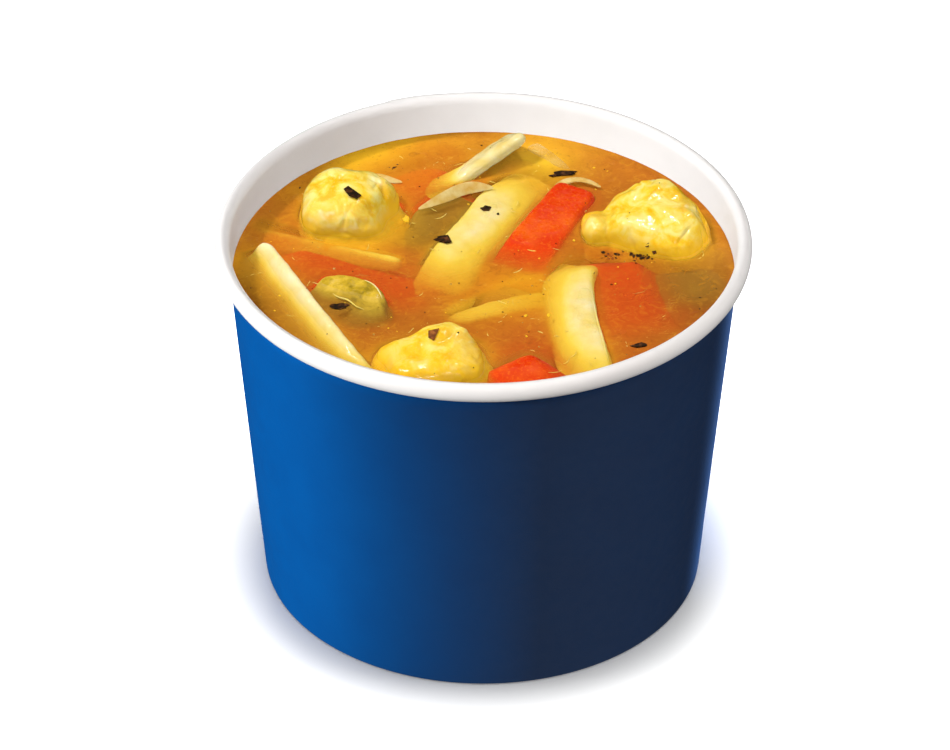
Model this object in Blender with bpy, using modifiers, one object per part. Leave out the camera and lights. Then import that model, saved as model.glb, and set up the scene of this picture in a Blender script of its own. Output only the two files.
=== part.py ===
"""Chicken noodle soup in a round paper soup cup, in metres with +Z up.

The cup stands on z = 0 with its axis on Z. Its wall is one paper sheet, rolled outwards into the
lip and folded up into a hem at the foot, and its bottom is a second sheet whose skirt hangs in the
hem. The broth fills the cup to its level and is cut round every piece that stands in it.
"""
import math

import bmesh
import bpy
from mathutils import Euler, Vector, noise

MM = 0.001
GAP = 0.3 * MM                       # clearance between neighbouring solids

# Cup
LIP_RADIUS = 49.0 * MM               # outside of the rolled lip
LIP_WIDTH = 2.36 * MM                # section of the roll, across and up
LIP_HEIGHT = 3.64 * MM
LIP_END_ANGLE = math.radians(-104)   # where the rolled edge stops, short of the wall
CUP_HEIGHT = 72.3 * MM
FOOT_RADIUS = 40.8 * MM
PAPER = 0.5 * MM
HEM_HEIGHT = 5.6 * MM
HEM_CORNER = 0.25 * MM
BASE_HEIGHT = 6.6 * MM               # underside of the raised bottom
SKIRT_FOOT = 1.0 * MM                # how high the bottom's skirt ends above the table
CUP_STEPS = 52
LIP_STEPS = 6
LIP_STEP = math.radians(45)          # the roll's facets, from the wall's inner face to underneath

LIP_CENTRE_X = LIP_RADIUS - LIP_WIDTH / 2
LIP_CENTRE_Z = CUP_HEIGHT - LIP_HEIGHT / 2
WALL_TOP_RADIUS = LIP_RADIUS - LIP_WIDTH + PAPER
WALL_TOP_Z = CUP_HEIGHT - LIP_HEIGHT
WALL_SLOPE = (WALL_TOP_RADIUS - FOOT_RADIUS) / WALL_TOP_Z

# Soup
LEVEL = 64.6 * MM                    # still surface of the broth
NOODLE_THICKNESS = 2.6 * MM
NOODLE_STEPS = 4                     # stretches between two stations of a noodle
CHUNK_DETAIL = 3                     # subdivisions of a lump of chicken
CHUNK_BLOCKINESS = 3.0               # 2 is an ellipsoid, more is nearer to a box
SLICE_STEPS = 8                      # stretches along a celery slice

# Colours, each with its roughness
MATERIALS = {
    "printed_paper": ((0.02, 0.12, 0.42), 0.45),
    "broth": ((0.70, 0.30, 0.05), 0.10),
    "noodle": ((0.85, 0.66, 0.26), 0.35),
    "chicken": ((0.88, 0.66, 0.22), 0.40),
    "carrot": ((0.80, 0.13, 0.03), 0.35),
    "celery": ((0.36, 0.32, 0.07), 0.35),
}


def wall_outside(height):
    """Radius of the wall's outer face at a height."""
    return FOOT_RADIUS + WALL_SLOPE * height


def wall_inside(height):
    """Radius of the wall's inner face at a height."""
    return wall_outside(height) - PAPER


# ---------------------------------------------------------------- shared helpers

def clear_scene():
    """Remove whatever the file holds."""
    for item in list(bpy.data.objects):
        bpy.data.objects.remove(item, do_unlink=True)


def new_collection(name):
    """A collection linked to the scene."""
    collection = bpy.data.collections.new(name)
    bpy.context.scene.collection.children.link(collection)
    return collection


def new_material(name, colour, roughness):
    """A Principled material of one colour."""
    material = bpy.data.materials.new(name)
    material.use_nodes = True
    shader = material.node_tree.nodes["Principled BSDF"]
    shader.inputs["Base Color"].default_value = (*colour, 1.0)
    shader.inputs["Roughness"].default_value = roughness
    shader.inputs["Metallic"].default_value = 0.0
    return material


def add_object(name, data, material, collection):
    """An object made from a mesh or curve, with its own copy of a material."""
    item = bpy.data.objects.new(name, data)
    own_material = material.copy()
    own_material.name = name + "_" + material.name
    data.materials.append(own_material)
    collection.objects.link(item)
    return item


def shade_round(mesh):
    """Smooth shading that keeps the corners crisp."""
    mesh.shade_smooth()
    mesh.set_sharp_from_angle(angle=math.radians(40))


def smooth_path(stations, steps):
    """Points on a smooth curve through stations of any number of values."""
    points = []
    for index in range(len(stations) - 1):
        before = stations[max(index - 1, 0)]
        start, end = stations[index], stations[index + 1]
        after = stations[min(index + 2, len(stations) - 1)]
        for step in range(steps):
            t = step / steps
            points.append(tuple(
                b + 0.5 * t * ((c - a) + t * ((2 * a - 5 * b + 4 * c - d) + t * (3 * (b - c) + d - a)))
                for a, b, c, d in zip(before, start, end, after)))
    points.append(tuple(stations[-1]))
    return points


def turned(name, profile, closed, smooth, material, collection):
    """A profile of (radius, height) points turned once round Z."""
    mesh = bpy.data.meshes.new(name)
    shape = bmesh.new()
    verts = [shape.verts.new((radius, 0.0, height)) for radius, height in profile]
    for first, second in zip(verts, verts[1:]):
        shape.edges.new((first, second))
    if closed:
        shape.edges.new((verts[-1], verts[0]))
    shape.to_mesh(mesh)
    shape.free()
    item = add_object(name, mesh, material, collection)
    screw = item.modifiers.new("Turn", "SCREW")
    screw.axis = "Z"
    screw.angle = math.tau
    screw.steps = CUP_STEPS
    screw.render_steps = CUP_STEPS
    screw.use_merge_vertices = True
    screw.merge_threshold = 0.01 * MM
    screw.use_smooth_shade = smooth
    return item


def meshed(curve_object):
    """Replace a curve object by its mesh, with the caps welded on."""
    collection = curve_object.users_collection[0]
    name = curve_object.name
    evaluated = curve_object.evaluated_get(bpy.context.evaluated_depsgraph_get())
    mesh = bpy.data.meshes.new_from_object(evaluated)
    shape = bmesh.new()
    shape.from_mesh(mesh)
    bmesh.ops.remove_doubles(shape, verts=shape.verts, dist=0.01 * MM)
    bmesh.ops.recalc_face_normals(shape, faces=shape.faces)
    shape.to_mesh(mesh)
    shape.free()
    mesh.materials.clear()
    mesh.materials.append(curve_object.data.materials[0])
    matrix = curve_object.matrix_world.copy()
    bpy.data.objects.remove(curve_object, do_unlink=True)
    item = bpy.data.objects.new(name, mesh)
    item.matrix_world = matrix
    collection.objects.link(item)
    shade_round(mesh)
    return item


# ---------------------------------------------------------------- the cup

def roll_point(angle, inwards):
    """A point on the rolled lip, on its outer skin or the given distance in from it."""
    return (LIP_CENTRE_X + (LIP_WIDTH / 2 - inwards) * math.cos(angle),
            LIP_CENTRE_Z + (LIP_HEIGHT / 2 - inwards) * math.sin(angle))


def make_cup_wall(material, collection):
    """The side of the cup: one sheet with the rolled lip above and the folded hem below."""
    angles = [math.pi - step * LIP_STEP for step in range(LIP_STEPS + 1)] + [LIP_END_ANGLE]
    outer_skin = [roll_point(angle, 0.0) for angle in angles]
    inner_skin = [roll_point(angle, PAPER) for angle in reversed(angles)]
    hem_outside = wall_inside(0.0) - PAPER - 2 * GAP      # face towards the skirt, at the table
    hem_inside = hem_outside - PAPER
    hem_lean = WALL_SLOPE * HEM_HEIGHT
    profile = outer_skin + inner_skin + [
        (WALL_TOP_RADIUS, WALL_TOP_Z),
        (wall_outside(HEM_CORNER), HEM_CORNER),
        (FOOT_RADIUS - HEM_CORNER, 0.0),
        (hem_inside + HEM_CORNER, 0.0),
        (hem_inside, HEM_CORNER),
        (hem_inside + hem_lean, HEM_HEIGHT),
        (hem_outside + hem_lean, HEM_HEIGHT),
        (hem_outside, PAPER),
        (wall_inside(PAPER), PAPER),
        (wall_inside(WALL_TOP_Z), WALL_TOP_Z),
    ]
    return turned("cup_wall", profile, True, True, material, collection)


def make_cup_base(material, collection):
    """The raised bottom of the cup, with a skirt that hangs in the hem."""
    top = BASE_HEIGHT + PAPER
    profile = [
        (0.0, top),
        (wall_inside(top) - GAP, top),
        (wall_inside(SKIRT_FOOT) - GAP, SKIRT_FOOT),
        (wall_inside(SKIRT_FOOT) - GAP - PAPER, SKIRT_FOOT),
        (wall_inside(BASE_HEIGHT) - GAP - PAPER, BASE_HEIGHT),
        (0.0, BASE_HEIGHT),
    ]
    return turned("cup_base", profile, False, False, material, collection)


# ---------------------------------------------------------------- pieces in the soup

def make_noodle(name, width, stations, material, collection):
    """A flat noodle through (x, y, z, lean) stations in millimetres and degrees.

    The lean turns the strip about its own length: 0 lies flat, and more raises the edge on the
    right hand of someone who walks from the first station to the last.
    """
    path = smooth_path(stations, NOODLE_STEPS)
    curve = bpy.data.curves.new(name, "CURVE")
    curve.dimensions = "3D"
    curve.twist_mode = "Z_UP"
    curve.bevel_depth = NOODLE_THICKNESS / 2
    curve.extrude = width / 2 - NOODLE_THICKNESS / 2
    curve.bevel_resolution = 1
    curve.use_fill_caps = True
    spline = curve.splines.new("POLY")
    spline.points.add(len(path) - 1)
    for index, (x, y, z, lean) in enumerate(path):
        point = spline.points[index]
        point.co = (x * MM, y * MM, z * MM, 1.0)
        point.tilt = math.radians(90.0 + lean)
    for end in (0, -1):
        spline.points[end].radius = 0.82
    return meshed(add_object(name, curve, material, collection))


def make_block(name, size, far_width, centre, turn, edge, material, collection):
    """A cut stick of carrot that narrows to far_width, with softened edges.

    size is (width, length, height) and turn is its rotation in degrees.
    """
    width, length, height = size
    shape = bmesh.new()
    bmesh.ops.create_cube(shape, size=1.0)
    for vert in shape.verts:
        share = far_width / width if vert.co.y > 0 else 1.0
        vert.co = Vector((vert.co.x * width * share, vert.co.y * length, vert.co.z * height)) * MM
    mesh = bpy.data.meshes.new(name)
    shape.to_mesh(mesh)
    shape.free()
    item = add_object(name, mesh, material, collection)
    item.location = Vector(centre) * MM
    item.rotation_euler = Euler([math.radians(angle) for angle in turn])
    bevel = item.modifiers.new("Soft edges", "BEVEL")
    bevel.width = edge * MM
    bevel.segments = 3
    shade_round(mesh)
    return item


def crescent(outer, inner, sweep):
    """Outline of a crescent between two radii, with its tips drawn in, about its own middle.

    sweep holds the first and last angle in degrees.
    """
    middle = (outer + inner) / 2
    mid_angle = math.radians(sum(sweep) / 2)
    outward, inward = [], []
    for step in range(SLICE_STEPS + 1):
        angle = math.radians(sweep[0] + (sweep[1] - sweep[0]) * step / SLICE_STEPS)
        half_band = (outer - inner) / 2 * (0.5 if step in (0, SLICE_STEPS) else 1.0)
        for radius, side in ((middle + half_band, outward), (middle - half_band, inward)):
            side.append((radius * math.cos(angle) - middle * math.cos(mid_angle),
                         radius * math.sin(angle) - middle * math.sin(mid_angle)))
    return outward + inward[::-1]


def make_slice(name, outline, thickness, centre, turn, edge, material, collection):
    """A slice of celery cut to a flat outline, with softened edges."""
    curve = bpy.data.curves.new(name, "CURVE")
    curve.dimensions = "2D"
    curve.fill_mode = "BOTH"
    curve.extrude = (thickness / 2 - edge) * MM
    curve.bevel_depth = edge * MM
    curve.bevel_resolution = 1
    curve.offset = -edge * MM
    spline = curve.splines.new("POLY")
    spline.points.add(len(outline) - 1)
    for point, (x, y) in zip(spline.points, outline):
        point.co = (x * MM, y * MM, 0.0, 1.0)
    spline.use_cyclic_u = True
    item = add_object(name, curve, material, collection)
    item.location = Vector(centre) * MM
    item.rotation_euler = Euler([math.radians(angle) for angle in turn])
    bpy.context.view_layer.update()
    return meshed(item)


def chunk_mesh(name, half_size, bumps, seed, detail):
    """A torn lump: a rounded box pushed out or in by broad bumps, and uneven all over.

    Each bump is (direction, amount, spread): amount is a share of the lump's own reach.
    """
    shape = bmesh.new()
    bmesh.ops.create_icosphere(shape, subdivisions=detail, radius=1.0)
    shift = Vector((seed * 3.7, seed * 1.9, seed * 5.3))
    power = CHUNK_BLOCKINESS
    for vert in shape.verts:
        direction = vert.co.normalized()
        reach = sum(abs(value) ** power for value in direction) ** (-1.0 / power)
        for toward, amount, spread in bumps:
            closeness = direction.dot(Vector(toward).normalized())
            reach += amount * math.exp((closeness - 1.0) / spread)
        reach += 0.10 * noise.noise(direction * 2.1 + shift)
        vert.co = Vector([value * half * reach for value, half in zip(direction, half_size)]) * MM
    mesh = bpy.data.meshes.new(name)
    shape.to_mesh(mesh)
    shape.free()
    mesh.shade_smooth()
    return mesh


def make_chunk(name, centre, half_size, bumps, turn, seed, material, collection):
    """One lump of chicken meat."""
    mesh = chunk_mesh(name, half_size, bumps, seed, CHUNK_DETAIL)
    item = add_object(name, mesh, material, collection)
    item.location = Vector(centre) * MM
    item.rotation_euler = Euler([math.radians(angle) for angle in turn])
    return item


def add_lobe(item, centre, half_size, seed, cutters):
    """Join a smaller lump to a piece of chicken."""
    mesh = chunk_mesh(item.name + "_lobe", half_size, (), seed, CHUNK_DETAIL - 1)
    lobe = bpy.data.objects.new(item.name + "_lobe", mesh)
    cutters.objects.link(lobe)
    lobe.location = Vector(centre) * MM
    hide_cutter(lobe)
    union = item.modifiers.new("Lobe", "BOOLEAN")
    union.operation = "UNION"
    union.object = lobe


# ---------------------------------------------------------------- the broth

def hide_cutter(item):
    """Mark an object as a tool that is no part of the model."""
    item.hide_render = True
    item.display_type = "WIRE"


def make_broth(pieces, material, collection, cutters):
    """The broth up to its level, with a pocket round every piece that stands in it."""
    floor = BASE_HEIGHT + PAPER + GAP
    profile = [
        (0.0, LEVEL),
        (wall_inside(LEVEL) - GAP, LEVEL),
        (wall_inside(floor) - GAP, floor),
        (0.0, floor),
    ]
    broth = turned("broth", profile, False, False, material, collection)
    for piece in pieces:
        evaluated = piece.evaluated_get(bpy.context.evaluated_depsgraph_get())
        mesh = bpy.data.meshes.new_from_object(evaluated)
        shape = bmesh.new()
        shape.from_mesh(mesh)
        grown = [vert.co + vert.normal * GAP * vert.calc_shell_factor() for vert in shape.verts]
        for vert, place in zip(shape.verts, grown):
            vert.co = place
        shape.to_mesh(mesh)
        shape.free()
        cutter = bpy.data.objects.new(piece.name + "_pocket", mesh)
        cutter.matrix_world = piece.matrix_world.copy()
        cutters.objects.link(cutter)
        hide_cutter(cutter)
        cut = broth.modifiers.new(cutter.name, "BOOLEAN")
        cut.operation = "DIFFERENCE"
        cut.object = cutter
    return broth


# ---------------------------------------------------------------- the soup

def make_noodles(material, collection):
    """Four wide noodles at the surface."""
    return [
        make_noodle("noodle_left", 8.2 * MM, (
            (-42.2, 5.8, 63.9, 42), (-36.2, -7.4, 64.1, 38), (-30.0, -20.2, 63.9, 34),
            (-25.4, -28.8, 63.3, 30), (-20.6, -35.8, 62.1, 26)), material, collection),
        make_noodle("noodle_centre", 9.6 * MM, (
            (-9.4, -4.4, 62.6, -4), (-5.6, 4.6, 63.4, -4), (-0.6, 14.8, 63.8, -5),
            (4.4, 25.4, 63.3, -4), (9.6, 35.2, 60.4, -2)), material, collection),
        make_noodle("noodle_back", 6.8 * MM, (
            (6.8, 39.6, 67.8, 30), (1.6, 35.4, 66.3, 28), (-3.8, 32.0, 64.0, 26),
            (-9.8, 30.4, 60.8, 20)), material, collection),
        make_noodle("noodle_right", 8.4 * MM, (
            (18.2, 6.4, 61.8, 6), (16.2, -2.4, 63.3, 6), (16.4, -12.6, 63.7, 6),
            (18.1, -24.0, 63.6, 5), (20.6, -35.4, 62.6, 4)), material, collection),
    ]


def make_vegetables(carrot, celery, collection):
    """Two cut carrot pieces and two celery slices that break the surface."""
    return [
        make_block("carrot_centre", (11.4, 27.0, 8.0), 8.2, (11.6, 14.2, 61.4), (4, 6, -25), 1.6,
                   carrot, collection),
        make_block("carrot_front", (12.0, 11.6, 8.0), 10.4, (8.0, -34.0, 60.9), (3, -3, 38), 1.8,
                   carrot, collection),
        make_slice("celery_left", crescent(9.2, 2.4, (-34, 128)), 5.0, (-22.4, -7.2, 62.8),
                   (9, -4, 0), 1.4, celery, collection),
        make_slice("celery_back", crescent(11.0, 5.0, (90, 194)), 4.6, (-9.2, 21.2, 62.6),
                   (18, 20, 0), 1.1, celery, collection),
    ]


def make_chicken(material, collection, cutters):
    """Three torn lumps of chicken, the largest with a small lobe at its side."""
    left = make_chunk("chicken_left", (-24.8, 17.4, 63.4), (9.2, 8.4, 7.4), (
        ((-0.45, 0.6, 0.8), 0.16, 0.10),
        ((0.5, 0.7, 0.6), 0.10, 0.08),
        ((0.25, 0.1, 1.0), -0.04, 0.03),
        ((0.9, -0.3, 0.6), -0.14, 0.08),
    ), (0, 0, -12), 3, material, collection)
    right = make_chunk("chicken_right", (32.4, 12.6, 63.2), (10.4, 8.4, 6.8), (
        ((-0.22, 0.72, 0.85), 0.42, 0.08),
        ((-0.9, 0.1, 0.4), 0.10, 0.08),
        ((0.8, 0.6, 0.6), -0.22, 0.10),
        ((0.2, -0.6, 0.9), -0.10, 0.08),
    ), (0, 0, -18), 5, material, collection)
    add_lobe(right, (20.9, 12.2, 63.9), (2.9, 4.4, 4.4), 7, cutters)
    front = make_chunk("chicken_front", (-8.8, -30.8, 62.3), (9.4, 7.2, 5.6), (
        ((0.22, 0.8, 0.9), 0.54, 0.07),
        ((-0.95, 0.45, 0.45), 0.24, 0.07),
        ((-0.4, 0.3, 1.0), -0.08, 0.06),
        ((0.95, 0.1, 0.6), 0.04, 0.05),
    ), (0, 0, 6), 9, material, collection)
    return [left, right, front]


def main():
    """Build the cup, everything that floats in it, and last the broth round it all."""
    clear_scene()
    soup = new_collection("chicken_noodle_soup")
    cutters = new_collection("cutters")
    looks = {name: new_material(name, *look) for name, look in MATERIALS.items()}
    make_cup_wall(looks["printed_paper"], soup)
    make_cup_base(looks["printed_paper"], soup)
    pieces = make_noodles(looks["noodle"], soup)
    pieces += make_vegetables(looks["carrot"], looks["celery"], soup)
    pieces += make_chicken(looks["chicken"], soup, cutters)
    bpy.context.view_layer.update()
    make_broth(pieces, looks["broth"], soup, cutters)


main()
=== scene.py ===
import math
import random

import bmesh
import bpy
import numpy as np
from mathutils import Euler, Matrix, Vector, noise
from mathutils.bvhtree import BVHTree


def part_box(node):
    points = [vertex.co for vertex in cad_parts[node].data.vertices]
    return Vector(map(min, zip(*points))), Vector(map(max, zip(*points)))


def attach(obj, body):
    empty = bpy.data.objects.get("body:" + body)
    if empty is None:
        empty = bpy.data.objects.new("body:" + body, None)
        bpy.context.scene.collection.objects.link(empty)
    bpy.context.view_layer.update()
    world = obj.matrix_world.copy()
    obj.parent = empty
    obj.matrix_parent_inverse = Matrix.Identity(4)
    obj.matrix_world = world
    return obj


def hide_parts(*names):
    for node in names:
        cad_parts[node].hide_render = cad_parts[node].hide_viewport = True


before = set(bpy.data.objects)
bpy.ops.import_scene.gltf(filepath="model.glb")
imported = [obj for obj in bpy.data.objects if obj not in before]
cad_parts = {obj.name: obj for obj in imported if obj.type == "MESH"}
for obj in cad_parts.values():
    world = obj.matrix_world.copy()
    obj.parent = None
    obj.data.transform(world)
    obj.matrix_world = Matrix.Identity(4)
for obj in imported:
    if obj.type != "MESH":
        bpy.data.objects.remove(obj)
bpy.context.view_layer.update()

# The looks of a paper cup of chicken noodle soup. Lengths are metres unless a name says MM.
MM = 0.001
DEPSGRAPH = bpy.context.evaluated_depsgraph_get

# The frame's own sizes
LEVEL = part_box("broth")[1].z                     # still surface of the soup
BROTH_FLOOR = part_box("broth")[0].z
RIM_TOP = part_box("cup_wall")[1].z
LIP_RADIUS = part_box("cup_wall")[1].x


def cad_reach(node, low, high):
    """Smallest and largest distance from the cup's axis among a node's vertices between two heights."""
    reach = [math.hypot(v.co.x, v.co.y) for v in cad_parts[node].data.vertices if low <= v.co.z <= high]
    return min(reach), max(reach)


FOOT_RADIUS = cad_reach("cup_wall", 0.2 * MM, 0.4 * MM)[1]

# Paper cup
PAPER = 0.5 * MM
LIP_WIDTH = 2.75 * MM
LIP_HEIGHT = 3.64 * MM
LIP_CENTRE = (LIP_RADIUS - LIP_WIDTH / 2, RIM_TOP - LIP_HEIGHT / 2)
WALL_TOP = (LIP_RADIUS - LIP_WIDTH + PAPER, RIM_TOP - LIP_HEIGHT)
WALL_SLOPE = (WALL_TOP[0] - FOOT_RADIUS) / WALL_TOP[1]
HEM_HEIGHT = 5.6 * MM
HEM_GAP = 1.1 * MM
CUP_STEPS = 240
INK_SKIN = 0.06 * MM                             # the printed skin on the wall's outside
SEAM_ANGLE = math.radians(112)                   # the wall's glued overlap, round the back
SEAM_RELIEF = 0.28 * MM

# Broth surface
SOUP_REACH = FOOT_RADIUS + WALL_SLOPE * LEVEL - PAPER + 0.15 * MM   # just into the wall
FIELD_STEPS = 321                                # grid on which the soup's fields are worked out
FIELD_HALF = SOUP_REACH + 0.5 * MM
DISC_STEPS = 286                                 # quads along a side of the surface's mesh
MURK_DEPTH = 4.6 * MM                            # where the broth can't be seen through any more
CLOUDINESS = 0.50 / MM                           # how fast the broth hides what lies under it

rng = random.Random(11)


# ---------------------------------------------------------------- meshes

def add_piece(name, mesh, material, slot, replaced=()):
    """A piece of the object that rides on its one body."""
    item = bpy.data.objects.new(name, mesh)
    bpy.context.scene.collection.objects.link(item)
    if material is not None:
        mesh.materials.clear()
        mesh.materials.append(material)
    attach(item, "root")
    if replaced:
        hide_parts(*replaced)
    return item


def mesh_from(name, verts, faces, smooth=True):
    """A mesh from coordinates and faces."""
    mesh = bpy.data.meshes.new(name)
    mesh.from_pydata([tuple(v) for v in verts], [], faces)
    if smooth:
        mesh.shade_smooth()
    return mesh


def evaluated_mesh(item):
    """The mesh of an object with its modifiers applied; the object goes."""
    bpy.context.view_layer.update()
    mesh = bpy.data.meshes.new_from_object(item.evaluated_get(DEPSGRAPH()))
    mesh.name = item.name
    bpy.data.objects.remove(item, do_unlink=True)
    return mesh


def fine_copy(name, source_mesh, voxel, rounds):
    """A closed mesh of small even quads over another mesh, with its facets smoothed away."""
    item = bpy.data.objects.new(name, source_mesh.copy())
    bpy.context.scene.collection.objects.link(item)
    remesh = item.modifiers.new("Remesh", "REMESH")
    remesh.mode = "VOXEL"
    remesh.voxel_size = voxel
    remesh.use_smooth_shade = True
    smooth = item.modifiers.new("Smooth", "SMOOTH")
    smooth.factor = 0.5
    smooth.iterations = rounds
    return evaluated_mesh(item)


def vertex_arrays(mesh):
    """Coordinates and normals of a mesh as arrays."""
    count = len(mesh.vertices)
    places, normals = np.empty(count * 3), np.empty(count * 3)
    mesh.vertices.foreach_get("co", places)
    mesh.vertices.foreach_get("normal", normals)
    return places.reshape(-1, 3), normals.reshape(-1, 3)


def push_out(mesh, amount):
    """Move every vertex along its normal by amount(place, normal)."""
    places, normals = vertex_arrays(mesh)
    shift = np.array([amount(Vector(p), Vector(n)) for p, n in zip(places, normals)])
    mesh.vertices.foreach_set("co", (places + normals * shift[:, None]).ravel())
    mesh.update()
    return mesh


def smoothstep(low, high, value):
    """0 below low, 1 above high, and a smooth climb between them."""
    t = np.clip((value - low) / (high - low), 0.0, 1.0)
    return t * t * (3.0 - 2.0 * t)


def smooth_path(stations, steps):
    """Points on a smooth curve through stations of any number of values."""
    points = []
    for index in range(len(stations) - 1):
        before = stations[max(index - 1, 0)]
        start, end = stations[index], stations[index + 1]
        after = stations[min(index + 2, len(stations) - 1)]
        for step in range(steps):
            t = step / steps
            points.append(tuple(
                b + 0.5 * t * ((c - a) + t * ((2 * a - 5 * b + 4 * c - d) + t * (3 * (b - c) + d - a)))
                for a, b, c, d in zip(before, start, end, after)))
    points.append(tuple(stations[-1]))
    return points


def strip_mesh(name, width, thickness, stations, end_scale=0.7):
    """A flat strip through (x, y, depth below the level, lean, share of the width) in mm and degrees."""
    path = smooth_path(stations, 8)
    curve = bpy.data.curves.new(name, "CURVE")
    curve.dimensions = "3D"
    curve.twist_mode = "Z_UP"
    curve.bevel_depth = thickness / 2
    curve.extrude = max(width - thickness, 0.0) / 2
    curve.bevel_resolution = 3
    curve.use_fill_caps = True
    spline = curve.splines.new("POLY")
    spline.points.add(len(path) - 1)
    for index, (x, y, depth, lean, share) in enumerate(path):
        spline.points[index].co = (x * MM, y * MM, LEVEL - depth * MM, 1.0)
        spline.points[index].tilt = math.radians(90 + lean)
        from_end = min(index, len(path) - 1 - index)
        spline.points[index].radius = share * (1.0 - (1.0 - end_scale) * math.exp(-from_end * 1.2))
    item = bpy.data.objects.new(name, curve)
    bpy.context.scene.collection.objects.link(item)
    return evaluated_mesh(item)


def block_mesh(name, size, centre, turn, taper=1.0, bevel=1.6):
    """A cut block with softened edges; size, centre (x, y, depth below the level) and bevel in mm."""
    shape = bmesh.new()
    bmesh.ops.create_cube(shape, size=1.0)
    for vert in shape.verts:
        share = taper if vert.co.y > 0 else 1.0
        vert.co = Vector((vert.co.x * size[0] * share, vert.co.y * size[1], vert.co.z * size[2])) * MM
    bmesh.ops.bevel(shape, geom=shape.edges[:], offset=bevel * MM, segments=3, profile=0.6,
                    affect="EDGES", clamp_overlap=True)
    rotation = Euler([math.radians(a) for a in turn]).to_matrix().to_4x4()
    place = Matrix.Translation((centre[0] * MM, centre[1] * MM, LEVEL - centre[2] * MM))
    bmesh.ops.transform(shape, matrix=place @ rotation, verts=shape.verts)
    mesh = bpy.data.meshes.new(name)
    shape.to_mesh(mesh)
    shape.free()
    return mesh


# ---------------------------------------------------------------- material helpers

class Surface:
    """A Principled material with a few shorthands for its nodes."""

    def __init__(self, name, **sockets):
        self.material = bpy.data.materials.new(name)
        self.material.use_nodes = True
        self.tree = self.material.node_tree
        self.shader = self.tree.nodes["Principled BSDF"]
        for label, value in sockets.items():
            self.shader.inputs[label.replace("_", " ")].default_value = value

    def node(self, kind, **settings):
        made = self.tree.nodes.new(kind)
        for label, value in settings.items():
            setattr(made, label, value)
        return made

    def join(self, start, end):
        self.tree.links.new(start, end)

    def place(self):
        """Object coordinates, which are metres in the frame."""
        return self.node("ShaderNodeTexCoord").outputs["Object"]

    def stretched(self, scale, turn=(0.0, 0.0, 0.0)):
        """Object coordinates turned, then stretched by a scale for each axis."""
        mapping = self.node("ShaderNodeMapping")
        mapping.vector_type = "TEXTURE"
        mapping.inputs["Rotation"].default_value = [math.radians(a) for a in turn]
        mapping.inputs["Scale"].default_value = scale
        self.join(self.place(), mapping.inputs["Vector"])
        return mapping.outputs["Vector"]

    def noise(self, size, detail=2.0, rough=0.5, distort=0.0, vector=None):
        """Noise from 0 to 1 whose features are about size metres across."""
        made = self.node("ShaderNodeTexNoise")
        made.inputs["Scale"].default_value = 1.0 / size
        made.inputs["Detail"].default_value = detail
        made.inputs["Roughness"].default_value = rough
        made.inputs["Distortion"].default_value = distort
        self.join(vector or self.place(), made.inputs["Vector"])
        return made.outputs["Fac"]

    def span(self, value, low, high, to_low=0.0, to_high=1.0):
        """A value mapped from one range to another, held at the ends."""
        made = self.node("ShaderNodeMapRange", interpolation_type="SMOOTHSTEP")
        for label, number in (("From Min", low), ("From Max", high), ("To Min", to_low), ("To Max", to_high)):
            made.inputs[label].default_value = number
        self.join(value, made.inputs["Value"])
        return made.outputs["Result"]

    def height(self):
        """Height above the table."""
        split = self.node("ShaderNodeSeparateXYZ")
        self.join(self.place(), split.inputs[0])
        return split.outputs["Z"]

    def sums(self, first, operation, second):
        made = self.node("ShaderNodeMath", operation=operation)
        for index, term in enumerate((first, second)):
            if isinstance(term, (int, float)):
                made.inputs[index].default_value = term
            else:
                self.join(term, made.inputs[index])
        return made.outputs[0]

    def ramp(self, value, *stops):
        """A colour ramp; each stop is (position, colour)."""
        made = self.node("ShaderNodeValToRGB")
        elements = made.color_ramp.elements
        while len(elements) < len(stops):
            elements.new(0.5)
        for element, (position, colour) in zip(elements, stops):
            element.position = position
            element.color = (*colour, 1.0)
        self.join(value, made.inputs["Fac"])
        return made.outputs["Color"]

    def blend(self, factor, first, second, mode="MIX"):
        """Two colours mixed by a factor."""
        made = self.node("ShaderNodeMix", data_type="RGBA", blend_type=mode)
        for socket, term in ((made.inputs[0], factor), (made.inputs[6], first), (made.inputs[7], second)):
            if isinstance(term, (int, float)):
                socket.default_value = term
            elif isinstance(term, tuple):
                socket.default_value = (*term, 1.0)
            else:
                self.join(term, socket)
        return made.outputs[2]

    def bump(self, value, distance, strength=1.0):
        """Fine relief from a value."""
        made = self.node("ShaderNodeBump")
        made.inputs["Distance"].default_value = distance
        made.inputs["Strength"].default_value = strength
        self.join(value, made.inputs["Height"])
        self.join(made.outputs["Normal"], self.shader.inputs["Normal"])

    def colour(self, value):
        self.join(value, self.shader.inputs["Base Color"])

    def roughness(self, value):
        self.join(value, self.shader.inputs["Roughness"])

    def soak(self, above, below):
        """0 above the waterline and 1 under it, between two distances from the level in mm."""
        return self.span(self.height(), LEVEL + above * MM, LEVEL - below * MM)

    def wet_roughness(self, size, low, high):
        """Uneven gloss on what stands out of the broth, and none on what lies under it."""
        gloss = self.span(self.noise(size), 0.3, 0.7, low, high)
        self.roughness(self.sums(gloss, "MAXIMUM", self.sums(self.soak(0.70, -0.1), "MULTIPLY", 0.95)))


# ---------------------------------------------------------------- materials

def print_material():
    """Blue ink on coated paper."""
    s = Surface("printed_blue", Specular_IOR_Level=0.70)
    mottling = s.noise(9 * MM, detail=3)
    s.colour(s.ramp(mottling, (0.3, (0.0, 0.112, 0.44)), (0.7, (0.0, 0.122, 0.47))))
    s.roughness(s.span(s.noise(2.2 * MM, detail=2), 0.3, 0.7, 0.36, 0.44))
    s.bump(s.noise(0.45 * MM, detail=2), 0.012 * MM)
    return s.material


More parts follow.
